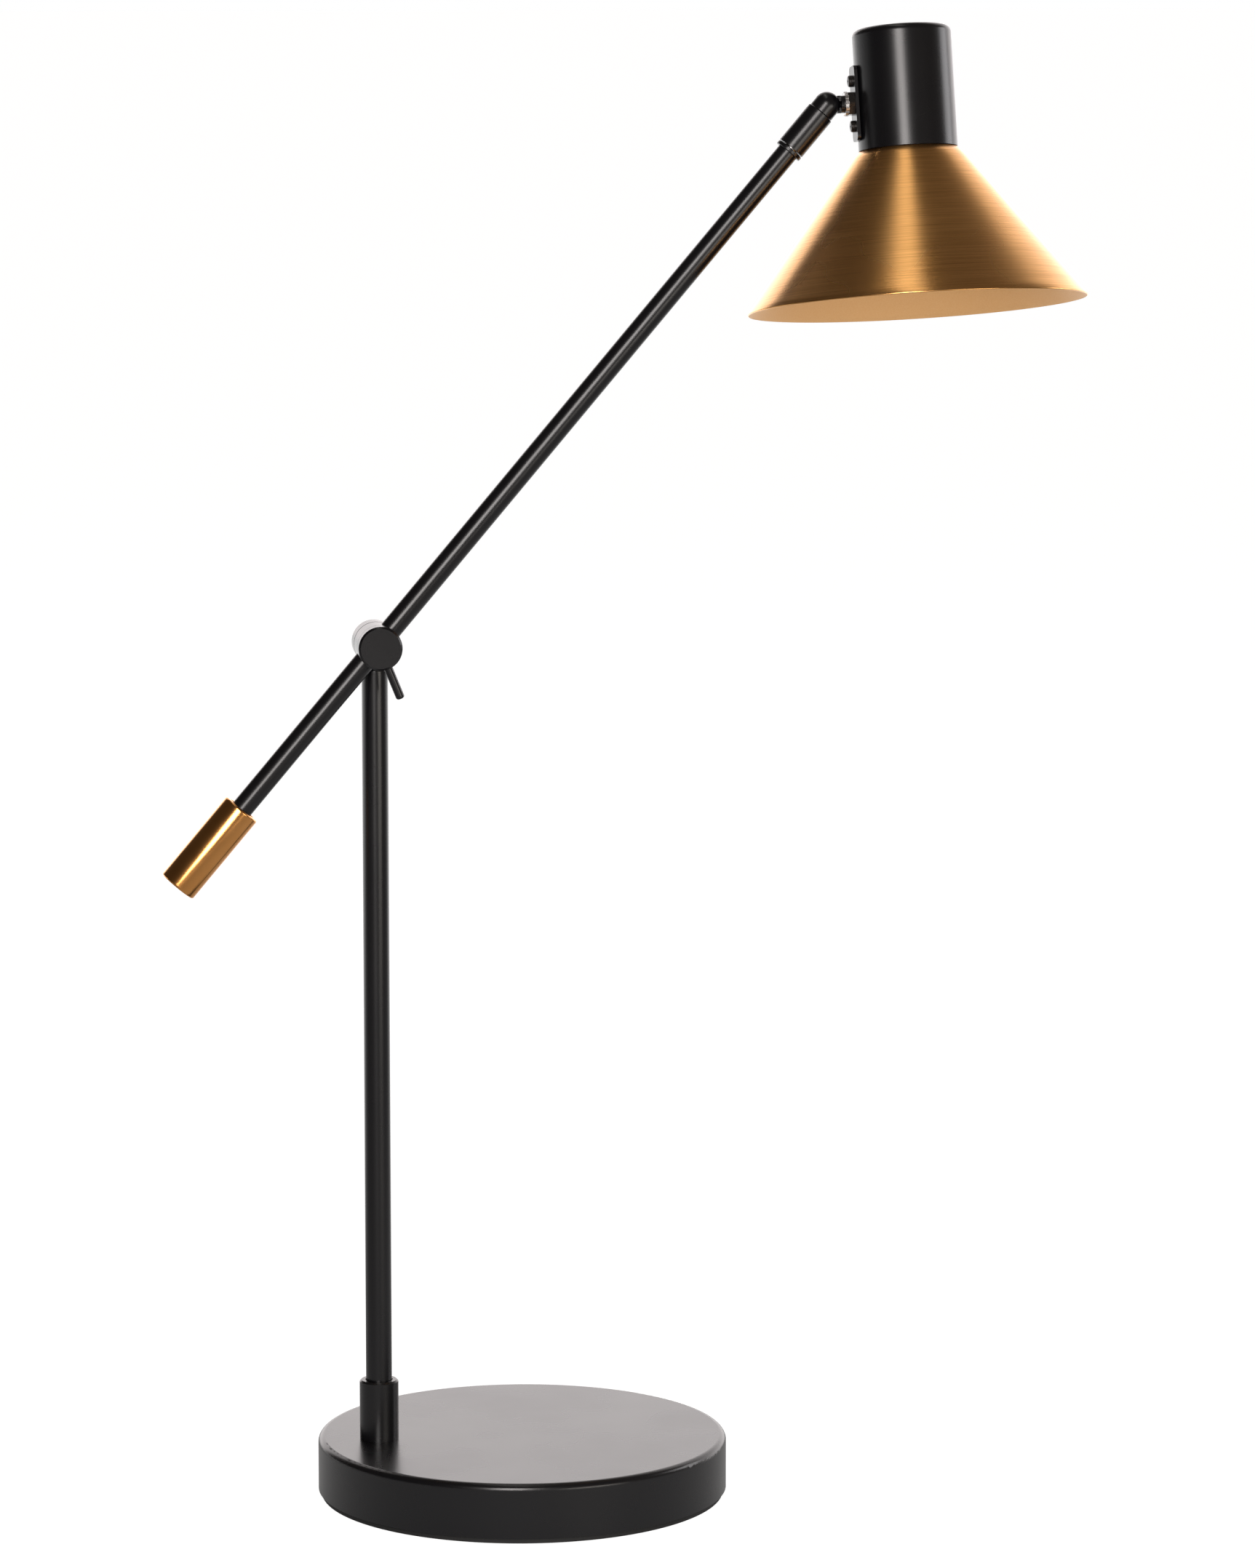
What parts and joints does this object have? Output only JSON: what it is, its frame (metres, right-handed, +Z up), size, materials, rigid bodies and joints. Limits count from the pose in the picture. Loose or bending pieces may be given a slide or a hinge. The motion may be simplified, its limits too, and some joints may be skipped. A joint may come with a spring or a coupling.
{
  "type": "swing arm desk lamp",
  "caption": "Desk lamp with a round weighted base, an upright stem, a counterweighted tilting arm and a conical brass shade on a swivel and knuckle.",
  "frame": {"origin": "middle of the base's underside, on the surface the lamp stands on", "axes": "+Z up, +X towards the lamp head in the plane of the arm, -Y towards the clamp knob, +Y to the rear where the cord enters"},
  "size_m": [0.4217, 0.1993, 0.6801],
  "materials": {
    "black_paint": "satin black powder coat",
    "zinc_steel": "zinc plated",
    "cast_iron": "rough casting",
    "black_rubber": "matt",
    "friction_plastic": "matt nylon",
    "polished_brass": "polished",
    "brushed_brass": "fine brushed",
    "holder_plastic": "moulded",
    "contact_brass": "bright",
    "wire_sheath": "smooth"
  },
  "bodies": {
    "base": {"base_pad": "black_rubber", "base_plate": "zinc_steel", "base_cover": "black_paint", "base_weight": "cast_iron", "base_posts": "zinc_steel", "plate_screws": "zinc_steel", "cord_grommet": "black_rubber", "base_washer": "zinc_steel", "base_nut": "zinc_steel", "base_nipple": "zinc_steel", "stem_collar": "black_paint", "collar_grub_screw": "zinc_steel", "stem_thrust_washer": "friction_plastic"},
    "stem": {"stem_tube": "black_paint", "stem_plug": "black_paint", "stem_head": "black_paint", "stem_wire": "wire_sheath", "clamp_washer": "friction_plastic"},
    "arm": {"arm_block": "black_paint", "upper_arm_stud": "zinc_steel", "lower_arm_stud": "zinc_steel", "upper_arm_tube": "black_paint", "lower_arm_tube": "black_paint", "arm_wire": "wire_sheath", "counterweight": "polished_brass", "counterweight_stud": "zinc_steel", "swivel_ring": "black_paint", "swivel_spindle": "zinc_steel", "swivel_retainer": "zinc_steel"},
    "knob": {"clamp_knob": "black_paint", "clamp_lever": "black_paint", "clamp_bolt": "zinc_steel"},
    "sleeve": {"swivel_sleeve": "black_paint", "knuckle_lug": "black_paint", "knuckle_screw": "zinc_steel"},
    "tongue": {"knuckle_tongue": "black_paint", "toothed_washer": "zinc_steel", "stub_nut": "black_paint", "stub_retainer": "zinc_steel"},
    "head": {"bracket_plate": "black_paint", "bracket_screws": "black_paint", "socket_cup": "black_paint", "lampholder_bridge": "zinc_steel", "bridge_screws": "zinc_steel", "lampholder": "holder_plastic", "lampholder_shell": "contact_brass", "lampholder_contact": "contact_brass", "shade_ring": "holder_plastic", "shade": "brushed_brass"}
  },
  "joints": [
    {"name": "stem_swivel", "type": "hinge", "parent": "base", "child": "stem", "pos_m": [-0.067, 0, 0.0343], "axis": [0, 0, 1], "range_deg": [-170, 170]},
    {"name": "arm_tilt", "type": "hinge", "parent": "stem", "child": "arm", "pos_m": [-0.067, -0.0128, 0.3998], "axis": [0, -1, 0], "range_deg": [-80, 28]},
    {"name": "knob_turn", "type": "hinge", "parent": "stem", "child": "knob", "pos_m": [-0.067, -0.02315, 0.3998], "axis": [0, -1, 0], "range_deg": [-90, 90]},
    {"name": "head_swivel", "type": "hinge", "parent": "arm", "child": "sleeve", "pos_m": [0.139, -0.0128, 0.64271], "axis": [0.6468, 0, 0.7627], "range_deg": [-90, 90]},
    {"name": "head_tilt", "type": "hinge", "parent": "sleeve", "child": "tongue", "pos_m": [0.139, -0.0128, 0.64271], "axis": [0, -1, 0], "range_deg": [-10, 90]},
    {"name": "head_roll", "type": "hinge", "parent": "tongue", "child": "head", "pos_m": [0.139, -0.0128, 0.64271], "axis": [0.9993, 0, 0.0384], "range_deg": [-90, 90]}
  ]
}
